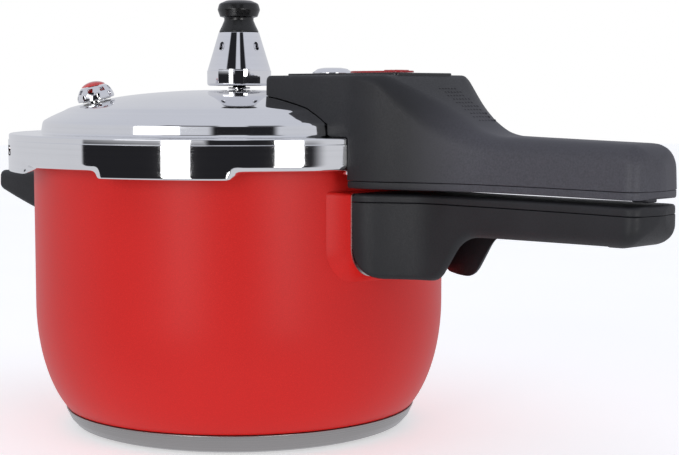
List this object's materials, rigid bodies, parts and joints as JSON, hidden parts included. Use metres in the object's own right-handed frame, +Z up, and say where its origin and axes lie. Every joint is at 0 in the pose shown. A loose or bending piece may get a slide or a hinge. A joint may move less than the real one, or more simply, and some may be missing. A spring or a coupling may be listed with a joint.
{
  "type": "pressure canner",
  "caption": "Red stovetop pressure canner with a twist-lock outer lid, cone weight valve, safety valve, pressure indicator and paired long handles.",
  "frame": {"origin": "centre of the base, on the flat underside the pot rests on", "axes": "+Z up along the pot axis, +X from the pot axis towards the long handles"},
  "size_m": [0.392, 0.2238, 0.2073],
  "materials": {
    "red_enamel": "satin",
    "aluminium": "satin",
    "steel_brushed": "brushed",
    "steel_polished": "polished",
    "handle_black": "satin",
    "trim_black": "gloss",
    "screw_steel": "satin",
    "seal_rubber": "matte",
    "chrome_trim": "polished",
    "red_plastic": "gloss",
    "red_clear": "gloss",
    "cap_black": "satin"
  },
  "bodies": {
    "pot": {"pot_body": "red_enamel", "base_core": "aluminium", "base_cap": "steel_brushed", "pot_bracket": "red_enamel", "pot_handle": "handle_black", "pot_handle_top": "handle_black", "pot_handle_screw": "screw_steel", "helper_bracket": "steel_brushed", "helper_handle": "handle_black", "helper_screw": "screw_steel"},
    "seal_ring": {"gasket": "seal_rubber"},
    "lid": {"lid_shell": "steel_polished", "vent_pipe": "steel_polished", "vent_nut": "screw_steel", "vent_strainer": "screw_steel", "lid_handle": "handle_black", "top_plate": "trim_black", "lid_handle_base": "handle_black", "lid_handle_screws": "screw_steel", "lid_bracket": "steel_brushed", "bracket_screws": "screw_steel", "float_bezel": "chrome_trim", "valve_nut": "screw_steel", "valve_seal": "seal_rubber", "valve_base": "chrome_trim", "valve_cover": "chrome_trim"},
    "indicator": {"float_pin": "screw_steel", "float_seal": "seal_rubber"},
    "lock_button": {"lock_slider": "red_plastic"},
    "safety_core": {"valve_core": "red_clear"},
    "weight_seat": {"weight_needle": "screw_steel"},
    "weight": {"weight_body": "chrome_trim", "weight_cap": "cap_black", "weight_screw": "screw_steel"}
  },
  "joints": [
    {"name": "lid_lift", "type": "slide", "parent": "pot", "child": "seal_ring", "axis": [0, 0, 1], "range_m": [0, 0.12]},
    {"name": "lid_turn", "type": "hinge", "parent": "seal_ring", "child": "lid", "pos_m": [0, 0, 0.14], "axis": [0, 0, 1], "range_deg": [0, 30]},
    {"name": "indicator_rise", "type": "slide", "parent": "lid", "child": "indicator", "axis": [0, 0, 1], "range_m": [0, 0.004]},
    {"name": "lock_slide", "type": "slide", "parent": "lid", "child": "lock_button", "axis": [1, 0, 0], "range_m": [0, 0.006]},
    {"name": "safety_lift", "type": "slide", "parent": "lid", "child": "safety_core", "axis": [-0.1056, -0.1829, 0.9774], "range_m": [0, 0.0012], "stiffness_N_per_m": 400},
    {"name": "weight_lift", "type": "slide", "parent": "lid", "child": "weight_seat", "axis": [0, 0, 1], "range_m": [0, 0.03]},
    {"name": "weight_spin", "type": "hinge", "parent": "weight_seat", "child": "weight", "pos_m": [0, 0, 0.18], "axis": [0, 0, 1], "continuous": true}
  ]
}
